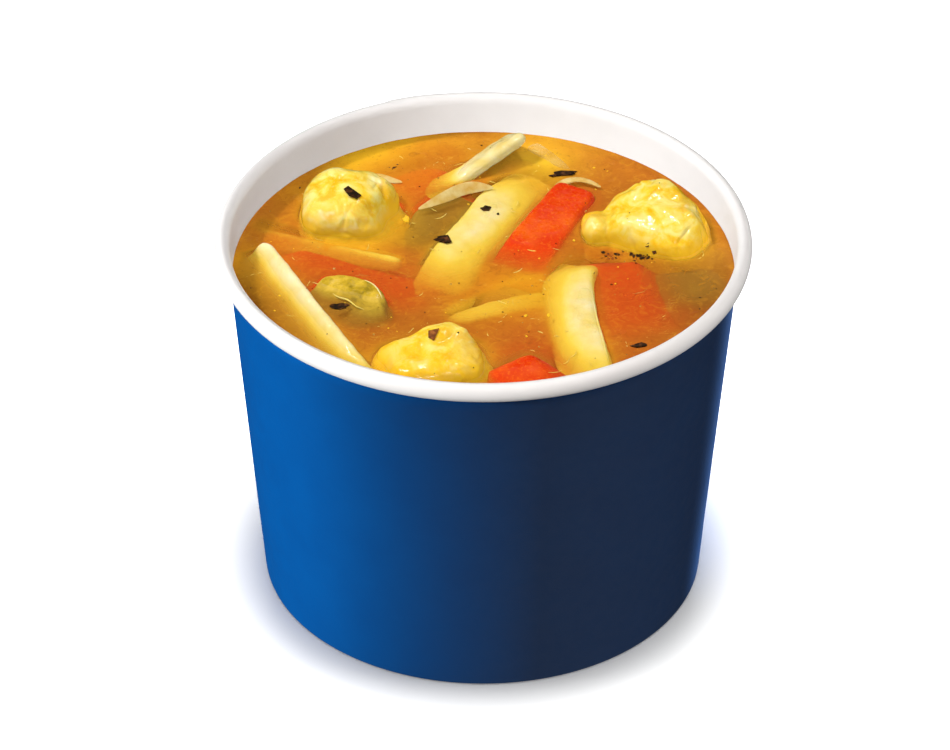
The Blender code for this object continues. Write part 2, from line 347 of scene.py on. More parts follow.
def paper_material():
    """Bare coated paperboard, a warm white."""
    s = Surface("white_paper", Specular_IOR_Level=0.4)
    s.colour(s.ramp(s.noise(6 * MM, detail=3), (0.3, (0.90, 0.895, 0.885)), (0.7, (0.93, 0.925, 0.915))))
    s.roughness(s.span(s.noise(1.6 * MM), 0.3, 0.7, 0.42, 0.52))
    s.bump(s.noise(0.5 * MM, detail=2), 0.015 * MM)
    return s.material


def noodle_material(name, wet_from=1.1, deep_from=0.0, deep_to=2.4, deep=(0.74, 0.40, 0.020), cream=0.0):
    """Wet egg noodle: pale where it is out, golden from wet_from mm above the level, deeper under it."""
    s = Surface(name, Specular_IOR_Level=0.50, Subsurface_Weight=0.22, Subsurface_Scale=1.2 * MM)
    s.shader.inputs["Subsurface Radius"].default_value = (1.0, 0.6, 0.2)
    mottle = s.noise(5.0 * MM, detail=4, rough=0.55, distort=0.4)
    dry = s.ramp(mottle, (0.30, (0.80, 0.61, 0.19)), (0.50, (0.84, 0.71, 0.33)), (0.72, (0.87, 0.78, 0.50)))
    dry = s.blend(cream, dry, (0.88, 0.83, 0.66))
    wet = s.blend(s.soak(wet_from, 0.5), dry, (0.81, 0.56, 0.050))
    s.colour(s.blend(s.soak(deep_from, deep_to), wet, deep))
    s.wet_roughness(1.5 * MM, 0.07, 0.20)
    s.bump(s.sums(s.noise(1.0 * MM, detail=2), "ADD", s.noise(0.35 * MM, detail=1)), 0.030 * MM)
    return s.material


def chicken_material():
    """Wet cooked chicken: golden flesh, pale strands where its fibres show, deeper towards the broth."""
    s = Surface("chicken", Specular_IOR_Level=0.45, Subsurface_Weight=0.25, Subsurface_Scale=1.4 * MM)
    s.shader.inputs["Subsurface Radius"].default_value = (1.0, 0.65, 0.2)
    pale = s.node("ShaderNodeAttribute", attribute_name="pale").outputs["Fac"]
    strand = s.node("ShaderNodeAttribute", attribute_name="strand").outputs["Fac"]
    patches = s.noise(4.2 * MM, detail=4, rough=0.55, distort=0.6)
    pores = s.noise(0.60 * MM, detail=2, rough=0.5)
    flesh = s.ramp(patches, (0.38, (0.86, 0.47, 0.010)), (0.49, (0.91, 0.63, 0.050)), (0.61, (0.94, 0.77, 0.220)))
    flesh = s.blend(s.span(pores, 0.50, 0.75, 0.0, 0.20), flesh, (0.95, 0.82, 0.36))
    flesh = s.blend(s.span(strand, 0.35, 0.95, 0.0, 0.85), flesh, (0.94, 0.85, 0.50))
    flesh = s.blend(s.sums(pale, "MULTIPLY", 0.35), flesh, (0.93, 0.76, 0.28))
    wet = s.blend(s.soak(4.6, -0.5), flesh, (0.96, 0.52, 0.018))
    s.colour(s.blend(s.soak(0.8, 2.2), wet, (0.80, 0.36, 0.012)))
    s.wet_roughness(1.0 * MM, 0.06, 0.24)
    s.bump(s.sums(s.sums(pores, "MULTIPLY", 0.55), "ADD", s.noise(1.4 * MM, detail=2, rough=0.5)), 0.085 * MM)
    return s.material


def carrot_material():
    """Wet cooked carrot: fine grained, more orange in places."""
    s = Surface("carrot", Specular_IOR_Level=0.16, Subsurface_Weight=0.10, Subsurface_Scale=1.0 * MM)
    s.shader.inputs["Subsurface Radius"].default_value = (1.0, 0.3, 0.1)
    broad = s.noise(8.0 * MM, detail=2)
    grain = s.noise(0.55 * MM, detail=3, rough=0.65)
    flesh = s.ramp(broad, (0.36, (0.68, 0.034, 0.003)), (0.50, (0.73, 0.056, 0.004)), (0.64, (0.80, 0.105, 0.007)))
    flesh = s.blend(s.span(grain, 0.50, 0.72, 0.0, 0.60), flesh, (0.90, 0.190, 0.012))
    s.colour(s.blend(s.soak(0.5, 2.0), flesh, (0.62, 0.055, 0.006)))
    s.wet_roughness(0.9 * MM, 0.16, 0.50)
    s.bump(s.sums(grain, "ADD", s.noise(1.2 * MM, detail=2)), 0.050 * MM)
    return s.material


def celery_material():
    """Wet cooked celery: golden olive with darker patches, deeper under the broth."""
    s = Surface("celery", Specular_IOR_Level=0.50)
    grain = s.noise(3.0 * MM, detail=5, rough=0.6, distort=0.5)
    flesh = s.ramp(grain, (0.34, (0.22, 0.15, 0.010)), (0.50, (0.50, 0.32, 0.018)), (0.66, (0.72, 0.47, 0.040)))
    s.colour(s.blend(s.soak(0.8, 1.2), flesh, (0.30, 0.165, 0.012)))
    s.wet_roughness(1.0 * MM, 0.12, 0.34)
    s.bump(s.sums(s.noise(0.6 * MM, detail=2), "ADD", s.noise(1.6 * MM, detail=3)), 0.070 * MM)
    return s.material


def film_material(name, alpha):
    """A thin translucent sliver."""
    s = Surface(name, Specular_IOR_Level=0.4, Alpha=alpha)
    s.colour(s.ramp(s.noise(2.2 * MM, detail=3), (0.35, (0.78, 0.50, 0.11)), (0.65, (0.90, 0.72, 0.30))))
    s.roughness(s.span(s.noise(1.0 * MM), 0.3, 0.7, 0.20, 0.40))
    return s.material


def herb_material(name, darkest, mid, lightest):
    """Dried leaf, dark with reddish brown places."""
    s = Surface(name, Specular_IOR_Level=0.12)
    s.colour(s.ramp(s.noise(0.9 * MM, detail=3), (0.42, darkest), (0.56, mid), (0.74, lightest)))
    s.roughness(s.span(s.noise(0.5 * MM), 0.3, 0.7, 0.45, 0.75))
    s.bump(s.noise(0.35 * MM, detail=2), 0.06 * MM)
    return s.material


def broth_material():
    """Cloudy amber broth: its tint and how much it hides come with the surface."""
    s = Surface("broth", Specular_IOR_Level=0.02)
    tint = s.node("ShaderNodeAttribute", attribute_name="tint")
    cover = s.node("ShaderNodeAttribute", attribute_name="cover")
    patches = s.noise(6.0 * MM, detail=2)
    haze = s.noise(2.2 * MM, detail=5, rough=0.62, distort=1.6)
    streaks = s.noise(3.0 * MM, detail=3, rough=0.5, distort=2.5, vector=s.stretched((2.2, 1.0, 1.0), (0, 0, 12)))
    lines = s.sums(s.sums(streaks, "SUBTRACT", 0.5), "ABSOLUTE", 0.0)
    lines = s.sums(s.span(lines, 0.0, 0.016, 1.0, 0.0), "MULTIPLY", s.span(patches, 0.50, 0.64, 0.0, 0.24))
    grains = s.noise(0.45 * MM, detail=2)
    cloudy = s.blend(s.span(haze, 0.48, 0.72, 0.0, 0.26), tint.outputs["Color"], (0.74, 0.34, 0.020))
    cloudy = s.blend(s.span(haze, 0.46, 0.28, 0.0, 0.30), cloudy, (0.24, 0.062, 0.008))
    cloudy = s.blend(lines, cloudy, (0.86, 0.52, 0.06))
    s.colour(s.blend(s.span(grains, 0.62, 0.76, 0.0, 0.30), cloudy, (0.16, 0.055, 0.008)))
    s.join(cover.outputs["Fac"], s.shader.inputs["Alpha"])
    s.roughness(s.span(s.noise(3.0 * MM), 0.3, 0.7, 0.14, 0.28))
    s.bump(s.noise(0.9 * MM, detail=3, rough=0.6), 0.045 * MM)
    return s.material


def bubble_material():
    """A skin of broth over air: clear amber and glossy."""
    s = Surface("bubble", Specular_IOR_Level=0.8, Roughness=0.05, Alpha=0.45)
    s.colour(s.ramp(s.noise(2 * MM), (0.3, (0.70, 0.36, 0.04)), (0.7, (0.86, 0.56, 0.12))))
    return s.material


def murk_material():
    """The depth at which the broth closes."""
    s = Surface("murk", Specular_IOR_Level=0.0, Roughness=0.9)
    s.colour(s.ramp(s.noise(7 * MM, detail=3), (0.3, (0.34, 0.10, 0.012)), (0.7, (0.44, 0.15, 0.016))))
    return s.material


# ---------------------------------------------------------------- the paper cup

def roll_point(angle, inwards):
    """A point on the rolled lip's section."""
    return (LIP_CENTRE[0] + (LIP_WIDTH / 2 - inwards) * math.cos(angle),
            LIP_CENTRE[1] + (LIP_HEIGHT / 2 - inwards) * math.sin(angle))


def wall_outside(height):
    """Radius of the wall's outer face."""
    return FOOT_RADIUS + WALL_SLOPE * height


def arc(centre, radii, start, end, steps):
    """Points along an elliptic arc, angles in degrees."""
    return [(centre[0] + radii[0] * math.cos(a), centre[1] + radii[1] * math.sin(a))
            for a in np.radians(np.linspace(start, end, steps))]


def sheet_profile():
    """The white sheet's section as (radius, height): rolled lip, wall, folded foot and hem."""
    angles = [math.radians(180 - 284 * step / 30) for step in range(31)]
    outer_skin = [roll_point(a, 0.0) for a in angles]
    inner_skin = [roll_point(a, PAPER) for a in reversed(angles)]
    wall = [(wall_outside(h) - INK_SKIN, h) for h in np.linspace(WALL_TOP[1], 1.0 * MM, 16)]
    fold = arc((FOOT_RADIUS - 0.6 * MM, 0.5 * MM), (0.6 * MM - INK_SKIN, 0.5 * MM), -10, -90, 6)
    hem_out = FOOT_RADIUS - PAPER - HEM_GAP
    hem_in = hem_out - PAPER
    lean = WALL_SLOPE * HEM_HEIGHT
    inside_fold = arc((hem_in + 0.45 * MM, 0.45 * MM), (0.45 * MM, 0.45 * MM), 270, 180, 5)
    hem = [(hem_in + lean, HEM_HEIGHT), (hem_out + lean, HEM_HEIGHT), (hem_out, PAPER),
           (FOOT_RADIUS - PAPER, PAPER)]
    inner_wall = [(wall_outside(h) - PAPER, h) for h in np.linspace(4 * MM, WALL_TOP[1], 12)]
    return outer_skin + inner_skin + wall + fold + inside_fold + hem + inner_wall


def skin_profile():
    """Section of the printed skin, from under the lip to the turn of the foot."""
    outside = [(wall_outside(h), h) for h in np.linspace(WALL_TOP[1] + 0.6 * MM, 1.0 * MM, 18)]
    outside += arc((FOOT_RADIUS - 0.6 * MM, 0.5 * MM), (0.6 * MM, 0.5 * MM), -5, -50, 4)
    inside = [(radius - INK_SKIN * 0.8, height + INK_SKIN * 0.2) for radius, height in reversed(outside)]
    return outside + inside


def turned_mesh(name, profile, angles, closed, relief):
    """A profile turned through a list of angles; relief(radius, height, angle) moves a point outwards."""
    rings = len(profile)
    verts = []
    for angle in angles:
        for radius, height in profile:
            reach = radius + (relief(radius, height, angle) if radius > 0 else 0.0)
            verts.append((reach * math.cos(angle), reach * math.sin(angle), height))
    faces = []
    spans = rings if closed else rings - 1
    for turn in range(len(angles)):
        after = (turn + 1) % len(angles)
        for ring in range(spans):
            beyond = (ring + 1) % rings
            faces.append((turn * rings + ring, turn * rings + beyond, after * rings + beyond, after * rings + ring))
    mesh = mesh_from(name, verts, faces)
    shape = bmesh.new()
    shape.from_mesh(mesh)
    bmesh.ops.remove_doubles(shape, verts=shape.verts, dist=0.001 * MM)
    bmesh.ops.recalc_face_normals(shape, faces=shape.faces)
    shape.to_mesh(mesh)
    shape.free()
    return mesh


def cup_angles():
    """Even steps round the cup, with a few more at the wall's seam."""
    even = [math.tau * step / CUP_STEPS for step in range(CUP_STEPS)]
    extra = [SEAM_ANGLE + math.radians(d) for d in (-0.25, -0.1, 0.0, 0.1, 0.25)]
    return sorted([a for a in even if abs(a - SEAM_ANGLE) > math.radians(0.4)] + extra)


def cup_relief(radius, height, angle):
    """The sheet's overlap at the seam, and the slight unevenness of a formed cup."""
    past = math.degrees(SEAM_ANGLE - angle)
    step = 0.0
    if -0.3 < past < 14.0:
        step = SEAM_RELIEF * smoothstep(-0.2, 0.2, past) * (1.0 - smoothstep(6.0, 14.0, past))
    outside = radius > wall_outside(height) - 0.3 * PAPER
    wobble = noise.noise(Vector((math.cos(angle) * 1.4, math.sin(angle) * 1.4, height / (40 * MM)))) * 0.10 * MM
    fade = smoothstep(1 * MM, 12 * MM, height)
    return wobble * fade + (step if outside and height > 0.6 * MM else 0.0)


def make_cup():
    """The white wall with its rolled lip and folded foot, its printed skin, and the raised bottom."""
    angles = cup_angles()
    sheet = turned_mesh("cup_sheet", sheet_profile(), angles, True, cup_relief)
    add_piece("cup_sheet", sheet, paper_material(), "white_paper", ["cup_wall"])
    skin = turned_mesh("cup_print", skin_profile(), angles, True, cup_relief)
    add_piece("cup_print", skin, print_material(), "printed_paper", ["cup_wall"])
    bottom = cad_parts["cup_base"]
    for slot in bottom.material_slots:
        slot.material = sheet.materials[0]


# ---------------------------------------------------------------- pieces in the soup

def ripple(size, depth, seed):
    """A relief of noise: features of size mm, depth mm."""
    shift = Vector((seed * 7.3, seed * 3.1, seed * 5.7))
    return lambda place: depth * MM * noise.fractal(place / (size * MM) + shift, 0.8, 2.1, 3)


def widen_below(mesh, slope, side=None, top=0.0):
    """Let a piece widen with depth from top mm under the level, towards one side or all round."""
    places, normals = vertex_arrays(mesh)
    flat = normals[:, :2]
    reach = np.linalg.norm(flat, axis=1)
    flat = flat / np.maximum(reach, 1e-6)[:, None]
    weight = smoothstep(0.15, 0.6, reach)
    if side is not None:
        weight = weight * smoothstep(0.0, 0.75, flat @ (np.array(side) / np.linalg.norm(side)))
    depth = np.clip(LEVEL - top * MM - places[:, 2], 0, 4.5 * MM)
    places[:, :2] += flat * (slope * depth * weight)[:, None]
    inside = wall_outside(LEVEL - 4.5 * MM) - 2 * PAPER
    spread = np.maximum(np.linalg.norm(places[:, :2], axis=1), 1e-6)
    below = places[:, 2] < LEVEL
    places[below, :2] *= np.minimum(1.0, inside / spread)[below, None]
    mesh.vertices.foreach_set("co", places.ravel())
    mesh.update()
    return mesh


def sink_side(mesh, side, drop, start=0.35):
    """Tilt a long piece so that its side sinks by drop mm."""
    places = vertex_arrays(mesh)[0]
    across = np.array(side) / np.linalg.norm(side)
    along = np.array((-across[1], across[0]))
    s, t = places[:, :2] @ across, places[:, :2] @ along
    spots = (t - t.min()) / (1.5 * MM)
    bins = np.round(spots).astype(int)
    count = bins.max() + 1
    low, high = np.full(count, np.inf), np.full(count, -np.inf)
    np.minimum.at(low, bins, s)
    np.maximum.at(high, bins, s)
    for edge in (low, high):
        for _ in range(3):
            edge[1:-1] = (edge[:-2] + 2 * edge[1:-1] + edge[2:]) / 4
    low, high = [np.interp(spots, np.arange(count), edge) for edge in (low, high)]
    share = (s - low) / np.maximum(high - low, 1 * MM)
    places[:, 2] -= drop * MM * smoothstep(start, 1.1, share)
    mesh.vertices.foreach_set("co", places.ravel())
    mesh.update()
    return mesh


def dip(mesh, towards, drop, reach):
    """Sink the last reach mm of a piece in a direction by up to drop mm."""
    places = vertex_arrays(mesh)[0]
    along = places[:, :2] @ (np.array(towards) / np.linalg.norm(towards))
    places[:, 2] -= drop * MM * smoothstep(along.max() - reach * MM, along.max(), along)
    mesh.vertices.foreach_set("co", places.ravel())
    mesh.update()
    return mesh


def make_noodle(name, mesh, seed, replaced=(), look="noodle", rounds=8, sink=None, dips=(), slope=0.7,
                side=None, top=0.0):
    """One wide noodle, slightly uneven along its faces and edges, that fades into the broth."""
    broad, fine = ripple(6.0, 0.22, seed), ripple(1.8, 0.05, seed + 20)
    shaped = fine_copy(name, mesh, 0.40 * MM, 4)
    if sink:
        sink_side(shaped, **sink)
    for towards, drop, reach in dips:
        dip(shaped, towards, drop, reach)
    widen_below(shaped, slope, side, top)
    fine_mesh = fine_copy(name, shaped, 0.34 * MM, rounds)
    push_out(fine_mesh, lambda place, normal: broad(place) + fine(place))
    return add_piece(name, fine_mesh, LOOKS[look], "noodle", replaced)


def chicken_fields(seed, fibre_turn, pale, lumps):
    """Two functions of a place: its relief in metres, and how much of a pale strand runs there."""
    shift = Vector((seed * 4.1, seed * 2.3, seed * 9.7))
    lie = Euler([math.radians(a) for a in fibre_turn]).to_matrix()

    def strand(place):
        along = lie @ place
        bend = 0.8 * MM * noise.noise(place / (4 * MM) + shift)
        grain = Vector((along.x / (7.0 * MM), (along.y + bend) / (1.25 * MM), (along.z + bend) / (1.25 * MM)))
        return noise.fractal(grain + shift, 0.7, 2.0, 2)

    def amount(place, normal):
        near, far = noise.voronoi(place / (7.0 * MM) + shift, distance_metric="DISTANCE", exponent=2.5)[0][:2]
        crease = math.exp(-((far - near) / 0.07) ** 2) * smoothstep(-0.1, 0.4, noise.noise(place / (6 * MM) - shift))
        folds = noise.fractal(place / (5.0 * MM) + shift, 1.0, 2.0, 2)
        nubs = noise.fractal(place / (1.3 * MM) - shift, 0.9, 2.0, 2)
        return (lumps * (folds - 0.8 * crease) + 0.03 * nubs + (0.04 + 0.10 * pale(place)) * strand(place)) * MM
    return amount, strand


def make_chicken(name, seed, fibre_turn, pale_spots, lumps=0.42, slope=0.6, side=None, dips=()):
    """One lump of chicken; a pale spot is (x, y, height, radius) in mm."""
    spots = [(Vector(spot[:3]) * MM, spot[3] * MM) for spot in pale_spots]

    def pale(place):
        return min(1.0, sum(math.exp(-((place - centre).length / radius) ** 2) for centre, radius in spots))
    amount, strand = chicken_fields(seed, fibre_turn, pale, lumps)
    mesh = fine_copy(name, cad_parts[name].data, 0.40 * MM, 4)
    for towards, drop, reach in dips:
        dip(mesh, towards, drop, reach)
    mesh = fine_copy(name, widen_below(mesh, slope, side), 0.30 * MM, 5)
    places = [v.co.copy() for v in mesh.vertices]
    push_out(mesh, amount)
    shares = [pale(place) for place in places]
    strands = [share * (0.5 + strand(place)) for share, place in zip(shares, places)]
    mesh.attributes.new("pale", "FLOAT", "POINT").data.foreach_set("value", shares)
    mesh.attributes.new("strand", "FLOAT", "POINT").data.foreach_set("value", strands)
    return add_piece(name + "_meat", mesh, LOOKS["chicken"], "chicken", [name])


def make_cut(name, mesh, kind, seed, replaced=(), depth=0.14, rounds=5, slope=0.6, side=None, top=0.0,
             flat=1.0, lower=0.0, dips=()):
    """One cut piece of carrot or celery; flat and lower bring down what stands out of the broth."""
    broad, fine = ripple(4.5, depth * 1.6, seed), ripple(1.3, depth * 0.3, seed + 30)
    shaped = fine_copy(name, mesh, 0.40 * MM, 3)
    for vert in shaped.vertices:
        vert.co.z = LEVEL + (vert.co.z - LEVEL) * (flat if vert.co.z > LEVEL else 1.0) - lower * MM
    for towards, drop, reach in dips:
        dip(shaped, towards, drop, reach)
    widen_below(shaped, slope, side, top)
    fine_mesh = fine_copy(name, shaped, 0.32 * MM, rounds)
    push_out(fine_mesh, lambda place, normal: broad(place) + fine(place))
    return add_piece(name, fine_mesh, LOOKS[kind], kind, replaced)


LOOKS = {
    "noodle": noodle_material("noodle"),
    # noodle_left's copy of the noodle look: creamier out of the broth, and under it a darker deep colour that is
    # painted shade from the left wall
    "tall_shaded": noodle_material("noodle_tall", 2.2, 0.8, 1.8, (0.42, 0.165, 0.014), 0.18),
    "chicken": chicken_material(),
    "carrot": carrot_material(),
    "celery": celery_material(),
}


def make_floating_pieces():
    """Fine versions of the pieces that stand in the broth, and those sunk in it, by kind."""
    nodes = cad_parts

    def noodle(node, seed, **shape):
        return make_noodle(node + "_strip", nodes[node].data, seed, [node], **shape)

    def cut(node, kind, seed, **shape):
        return make_cut(node + "_cut", nodes[node].data, kind, seed, [node], **shape)

    thin = strip_mesh("thin", 3.0 * MM, 2.0 * MM, (
        (-42.0, 14.8, 3.0, 60, 1.0), (-34.0, 11.4, 2.5, 60, 1.0), (-24.6, 7.0, 2.0, 50, 1.0),
        (-15.0, 2.7, 1.2, 30, 1.0)))
    front = strip_mesh("front", 4.6 * MM, 2.6 * MM, (
        (-5.2, -15.0, 2.4, 0, 0.7), (0.5, -12.0, 2.1, 0, 1.0), (7.0, -8.8, 2.9, 0, 1.0),
        (13.0, -6.4, 4.0, 0, 0.9)))
    noodles = [
        # noodle_left takes the look with painted shade on its side towards the left wall
        noodle("noodle_left", 1, look="tall_shaded", rounds=44, side=(-0.6, -0.8),
               sink=dict(side=(-0.7, -0.7), drop=3.4, start=0.05), dips=[((0.58, -0.81), 0.6, 6.0)]),
        noodle("noodle_centre", 2, rounds=12, side=(0.6, -0.8), sink=dict(side=(0.9, -0.45), drop=1.3, start=0.45),
               dips=[((-0.42, -0.90), 1.1, 10.0)]),
        noodle("noodle_back", 3, rounds=24, slope=0.4, dips=[((-0.55, -0.83), 0.8, 7.0)]),
        noodle("noodle_right", 4, rounds=16, slope=0.5, side=(-1.0, -0.2),
               sink=dict(side=(-1.0, 0.0), drop=1.2, start=0.50), dips=[((-0.15, 1.0), 1.9, 9.0)]),
        make_noodle("noodle_thin_sunk", thin, 7, rounds=14, slope=0.6, top=1.6),
        make_noodle("noodle_front_sunk", front, 8, rounds=20, slope=1.0, top=1.0),
    ]
    carrots = [
        cut("carrot_centre", "carrot", 3, depth=0.10, rounds=8, side=(-0.5, -1.0), slope=0.4,
            dips=[((-0.60, -0.80), 2.1, 7.5)]),
        cut("carrot_front", "carrot", 4, depth=0.10, rounds=8, slope=0.8, dips=[((1.0, 0.1), 1.4, 6.0)]),
        make_cut("carrot_right_sunk", block_mesh("right", (9.0, 20.0, 5.0), (26.0, -5.2, 4.3), (4, -3, 8)),
                 "carrot", 11, depth=0.08, rounds=24, slope=1.6, top=1.8),
        make_cut("carrot_left_sunk", block_mesh("left", (7.0, 24.0, 5.0), (-23.6, 1.2, 4.7), (0, 4, 54)),
                 "carrot", 12, depth=0.08, rounds=24, slope=1.6, top=1.8),
        make_cut("carrot_back_sunk", block_mesh("back", (10.0, 13.0, 5.0), (-10.8, 29.6, 5.2), (0, 0, 30)),
                 "carrot", 13, depth=0.08, rounds=24, slope=1.4, top=2.4),
    ]
    celery = [
        cut("celery_left", "celery", 5, depth=0.10, rounds=8, slope=1.0, side=(-0.2, -1.0)),
        make_cut("celery_left_sunk", block_mesh("near", (12.0, 9.0, 3.0), (-24.2, -10.8, 2.7), (15, 0, -38)),
                 "celery", 16, depth=0.08, rounds=20, slope=0.8, top=0.8),
        cut("celery_back", "celery", 6, depth=0.08, rounds=14, slope=1.6, side=(0.3, -1.0), flat=0.35, lower=0.9),
        make_cut("celery_right_sunk", block_mesh("celery", (8.0, 11.0, 4.0), (38.0, -2.6, 4.3), (0, 6, 20)),
                 "celery", 15, depth=0.10, rounds=24, slope=1.4, top=1.8),
    ]
    chicken = [
        make_chicken("chicken_left", 3, (0, 25, 48), ((-29.5, 12.5, 66.5, 4.2), (-24.0, 11.0, 66.5, 3.2),
                                                      (-19.5, 22.0, 70.0, 2.8)),
                     slope=1.1, side=(0.5, -0.85), dips=[((0.85, -0.5), 3.0, 6.0)]),
        make_chicken("chicken_right", 6, (0, 15, -60), ((20.5, 11.0, 67.0, 2.4), (38.0, 13.0, 68.0, 2.6)),
                     slope=0.2, side=(0.2, -1.0), dips=[((0.9, -0.4), 1.5, 5.0)]),
        make_chicken("chicken_front", 9, (0, -30, -62), ((-1.6, -27.5, 66.5, 4.4),), lumps=0.24),
    ]
    return {"noodle": noodles, "carrot": carrots, "celery": celery, "chicken": chicken}


# ---------------------------------------------------------------- the broth

def field_axes():
    """Coordinates of the square grid on which the soup's fields are worked out."""
    return np.linspace(-FIELD_HALF, FIELD_HALF, FIELD_STEPS)


def depth_field(pieces):
    """How deep some pieces lie straight below the level at each grid point: 0 where they stand through it."""
    verts, polys = [], []
    for piece in pieces:
        start = len(verts)
        verts += [v.co.copy() for v in piece.data.vertices]
        polys += [[start + i for i in face.vertices] for face in piece.data.polygons]
    tree = BVHTree.FromPolygons(verts, polys)
    lows = [min(v.co[axis] for piece in pieces for v in piece.data.vertices) for axis in (0, 1)]
    highs = [max(v.co[axis] for piece in pieces for v in piece.data.vertices) for axis in (0, 1)]
    axis = field_axes()
    depth = np.full((FIELD_STEPS, FIELD_STEPS), 30 * MM)
    down = Vector((0, 0, -1))
    for i, x in enumerate(axis):
        if not lows[0] <= x <= highs[0]:
            continue
        for j, y in enumerate(axis):
            if lows[1] <= y <= highs[1]:
                hit, facing = tree.ray_cast(Vector((x, y, LEVEL)), down)[:2]
                if hit is not None:
                    depth[i, j] = LEVEL - hit.z if facing.z > 0 else 0.0
    return depth


def blurred(field, size):
    """A field blurred by a Gaussian of a size in metres."""
    sigma = size / (2 * FIELD_HALF / (FIELD_STEPS - 1))
    reach = max(int(sigma * 3), 1)
    weights = np.exp(-0.5 * (np.arange(-reach, reach + 1) / sigma) ** 2)
    weights /= weights.sum()
    padded = np.pad(field, reach, mode="edge")
    rows = sum(w * padded[k:k + field.shape[0], :] for k, w in enumerate(weights))
    return sum(w * rows[:, k:k + field.shape[1]] for k, w in enumerate(weights))


def noise_field(size, seed, octaves=3):
    """Noise from about -1 to 1 over the grid."""
    axis = field_axes() / size
    return np.array([[noise.fractal(Vector((x, y, seed * 3.7)), 0.8, 2.1, octaves) for y in axis] for x in axis])


def sampled(field, x, y):
    """A grid field read at scattered points."""
    step = 2 * FIELD_HALF / (FIELD_STEPS - 1)
    u = np.clip((x + FIELD_HALF) / step, 0, FIELD_STEPS - 1.001)
    v = np.clip((y + FIELD_HALF) / step, 0, FIELD_STEPS - 1.001)
    i, j = u.astype(int), v.astype(int)
    fu, fv = u - i, v - j
    if field.ndim == 3:
        fu, fv = fu[:, None], fv[:, None]
    return ((field[i, j] * (1 - fu) + field[i + 1, j] * fu) * (1 - fv)
            + (field[i, j + 1] * (1 - fu) + field[i + 1, j + 1] * fu) * fv)


def disc_points(steps):
    """Points of a square grid drawn into a disc of radius 1 with even spacing."""
    axis = np.linspace(-1, 1, steps + 1)
    u, v = [a.ravel() for a in np.meshgrid(axis, axis, indexing="ij")]
    wide = np.abs(u) >= np.abs(v)
    radius = np.where(wide, u, v)
    ratio = np.where(wide, np.divide(v, u, out=np.zeros_like(u), where=u != 0),
                     np.divide(u, v, out=np.zeros_like(u), where=v != 0))
    angle = np.where(wide, ratio * math.pi / 4, math.pi / 2 - ratio * math.pi / 4)
    return radius * np.cos(angle), radius * np.sin(angle)


BROTH_COLOUR = (0.44, 0.125, 0.013)
TINTS_AND_SHADE = (                                       # x, y and spread in mm, colour; patches of the broth's tint, and at (-34, 30) painted shade by the back-left wall
    (-21.0, 36.0, 15.0, (0.80, 0.435, 0.018)), (-34.0, 30.0, 7.0, (0.58, 0.23, 0.014)),
    (10.0, 42.0, 12.0, (0.66, 0.30, 0.020)),
    (-43.0, 2.0, 9.0, (0.56, 0.22, 0.014)), (-16.0, -19.0, 8.0, (0.40, 0.110, 0.012)),
    (-13.0, 10.0, 7.0, (0.36, 0.16, 0.014)), (4.0, -7.0, 10.0, (0.62, 0.20, 0.012)),
    (37.0, -8.0, 12.0, (0.26, 0.088, 0.014)), (42.0, 4.0, 6.0, (0.50, 0.19, 0.022)),
    (16.0, -27.0, 12.0, (0.46, 0.085, 0.012)), (8.0, -6.0, 5.0, (0.74, 0.33, 0.014)),
    (9.5, 34.5, 5.5, (0.78, 0.45, 0.026)),
)
SHADES = (                                       # x, y and spread in mm of painted shade in the broth along the left wall, share of the light left
    (-44.0, -6.0, 6.0, 0.70), (-41.0, -13.0, 6.0, 0.55), (-37.0, -22.0, 6.0, 0.55), (-30.0, -31.0, 6.0, 0.60),
)
GLOW = {                                         # what each kind gives the broth round it, how much, how deep in mm
    "noodle": ((0.74, 0.40, 0.016), 0.95, 3.2), "carrot": ((0.55, 0.068, 0.009), 1.05, 4.6),
    "celery": ((0.24, 0.105, 0.010), 1.00, 4.0), "chicken": ((0.76, 0.37, 0.014), 0.95, 3.0),
}


def broth_fields(kinds):
    """Height, tint and cover of the soup's surface over the grid."""
    depths = {kind: depth_field(pieces) for kind, pieces in kinds.items()}
    nearest = np.minimum.reduce(list(depths.values()))
    x, y = np.meshgrid(field_axes(), field_axes(), indexing="ij")
    from_wall = SOUP_REACH - np.hypot(x, y)

    climb = 0.05 * MM * np.exp(-np.maximum(from_wall, 0) / (0.9 * MM))
    waves = 0.07 * MM * noise_field(7 * MM, 1) + 0.015 * MM * noise_field(1.6 * MM, 2)
    height = climb + waves

    cover = 1.0 - np.exp(-CLOUDINESS * np.maximum(nearest + height, 0.0))
    cover = blurred(cover, 0.35 * MM) * smoothstep(0.0, 0.35 * MM, nearest)
    cover = np.maximum(cover, 1.0 - smoothstep(0.8 * MM, 3.2 * MM, from_wall))

    broad, finer = noise_field(15 * MM, 5)[..., None], noise_field(5 * MM, 6)[..., None]
    tint = np.ones(x.shape + (1,)) * np.array(BROTH_COLOUR)
    # patches of the broth's tint, one of them painted shade by the back-left wall
    for centre_x, centre_y, spread, colour in TINTS_AND_SHADE:
        share = np.exp(-((x - centre_x * MM) ** 2 + (y - centre_y * MM) ** 2) / (spread * MM) ** 2)[..., None]
        tint = tint * (1 - share) + np.array(colour) * share
    tint = tint * (1.0 + np.array((0.10, 0.18, 0.12)) * broad + np.array((0.07, 0.14, 0.08)) * finer)
    for kind, (colour, strength, fade) in GLOW.items():
        near = np.exp(-np.maximum(depths[kind], 0.0) / (fade * MM))
        share = 0.60 * blurred(near, 0.8 * MM) + 0.40 * blurred(near, 2.6 * MM)
        share = np.clip(share * strength, 0, 0.95)[..., None]
        tint = tint * (1 - share) + np.array(colour) * share
    # painted shade in the broth along the left wall, beside noodle_left
    for centre_x, centre_y, spread, left in SHADES:
        share = np.exp(-((x - centre_x * MM) ** 2 + (y - centre_y * MM) ** 2) / (spread * MM) ** 2)[..., None]
        tint = tint * (1 - share * (1 - left))
    return height, tint, cover


